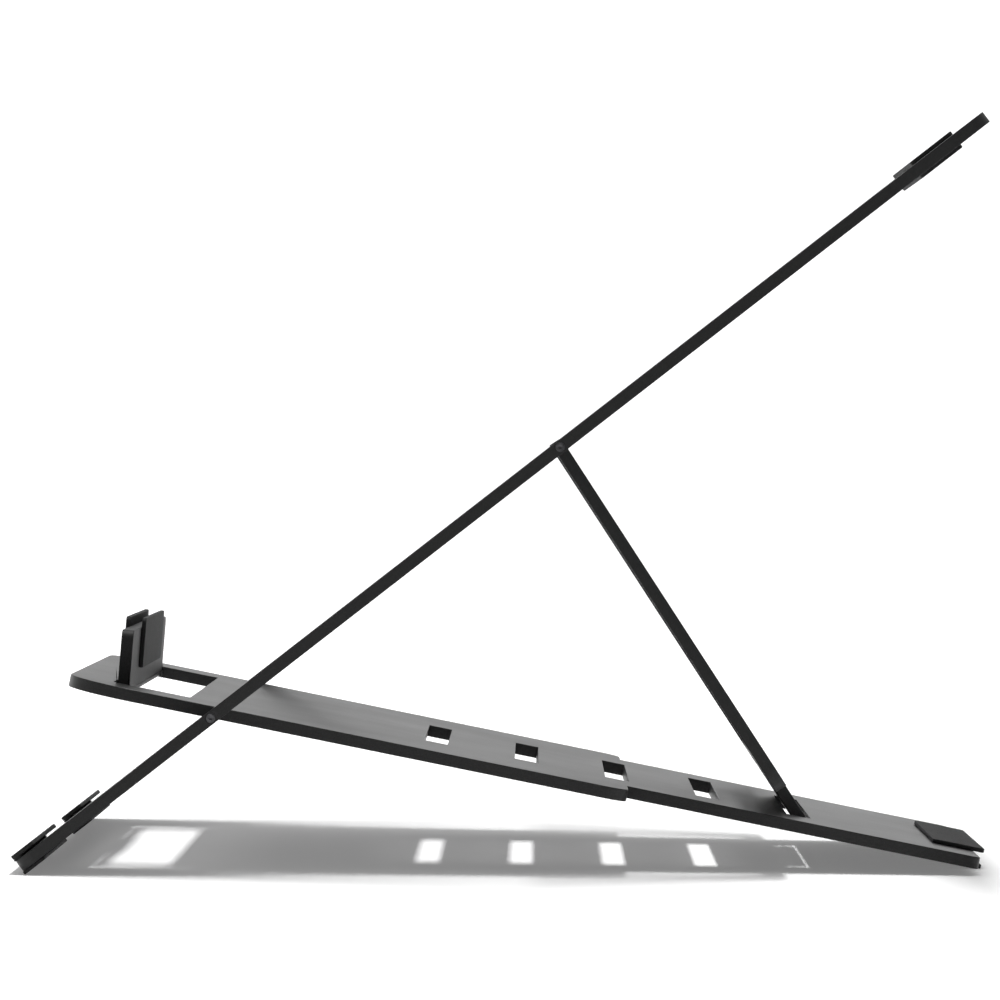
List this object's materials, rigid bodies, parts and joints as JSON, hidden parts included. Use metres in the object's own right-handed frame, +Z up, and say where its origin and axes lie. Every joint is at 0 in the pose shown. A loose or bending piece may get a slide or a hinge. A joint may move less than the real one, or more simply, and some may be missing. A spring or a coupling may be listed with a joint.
{
  "type": "laptop stand",
  "caption": "Flat-folding laptop stand: ring frame on a slotted base plate, propped by a two-legged strut, with a flip-up front stop and rubber pads.",
  "frame": {"origin": "centre of the bounding box in X and Y, on the surface that the stand rests on", "axes": "+X along the stand from the user's side to the rear, +Y across, +Z up; the frame rises towards +X"},
  "size_m": [0.2644, 0.23, 0.2065],
  "materials": {
    "base_metal": "satin black powder coat on aluminium",
    "frame_metal": "satin black powder coat on aluminium",
    "flap_metal": "satin black powder coat on aluminium",
    "fastener_steel": "black oxide steel",
    "washer": "matte nylon",
    "shoe_rubber": "matte rubber",
    "pad_rubber": "matte rubber"
  },
  "bodies": {
    "base": {"base_plate": "base_metal", "rear_pad_upper": "pad_rubber", "rear_foot": "pad_rubber", "flap_pin_near": "fastener_steel", "flap_pin_far": "fastener_steel", "pivot_screw_near": "fastener_steel", "pivot_screw_far": "fastener_steel", "pivot_washer_near": "washer", "pivot_washer_far": "washer"},
    "frame": {"frame_ring": "frame_metal", "top_pad_upper": "pad_rubber", "top_pad_lower": "pad_rubber", "front_foot_near": "pad_rubber", "front_foot_far": "pad_rubber", "grip_riser_near": "pad_rubber", "grip_riser_far": "pad_rubber", "grip_near": "pad_rubber", "grip_far": "pad_rubber"},
    "strut": {"strut": "frame_metal", "strut_shoe": "shoe_rubber", "strut_screw_near": "fastener_steel", "strut_screw_far": "fastener_steel", "strut_washer_near": "washer", "strut_washer_far": "washer"},
    "flap": {"stop_flap": "flap_metal", "flap_pad_front": "pad_rubber", "flap_pad_rear": "pad_rubber"}
  },
  "joints": [
    {"name": "frame_fold", "type": "hinge", "parent": "base", "child": "frame", "pos_m": [-0.07963, 0, 0.04244], "axis": [0, -1, 0], "range_deg": [-49.3, 29]},
    {"name": "strut_fold", "type": "hinge", "parent": "frame", "child": "strut", "pos_m": [0.01187, 0, 0.11568], "axis": [0, -1, 0], "range_deg": [-55.82, 94.86], "deforming": ["strut_shoe"]},
    {"name": "flap_fold", "type": "hinge", "parent": "base", "child": "flap", "pos_m": [-0.10646, 0, 0.04747], "axis": [0, 1, 0], "range_deg": [0, 82]}
  ],
  "couplings": [
    {"joint": "strut_fold", "follows": "frame_fold", "ratio": -1.9232}
  ]
}
